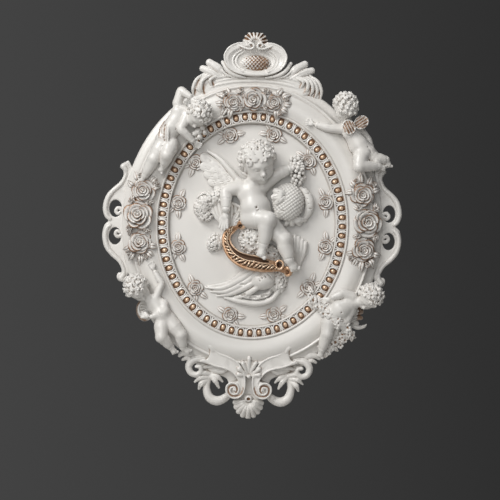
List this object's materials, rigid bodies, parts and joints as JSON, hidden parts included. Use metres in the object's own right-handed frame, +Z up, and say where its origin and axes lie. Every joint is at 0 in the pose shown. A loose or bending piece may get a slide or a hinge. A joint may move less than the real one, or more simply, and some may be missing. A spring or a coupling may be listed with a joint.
{
  "type": "angel wall sculpture",
  "caption": "Oval relief plaque for a wall: a winged cherub with a carp and flowers in a beaded oval frame, with smaller cherubs, roses, a shell crest and scrolled sides.",
  "frame": {"origin": "on the flat wall face, behind the centre of the oval", "axes": "+Z up the wall, +Y into the wall, so the relief faces -Y; +X to the viewer's right"},
  "size_m": [0.468, 0.0677, 0.6],
  "materials": {
    "painted_resin": "satin warm-white paint over stone-filled resin, with brown-gold rubbed into the recesses and copper-gold on the shell boat and beads"
  },
  "bodies": {
    "root": {"angel_plaque": "painted_resin"}
  },
  "joints": []
}
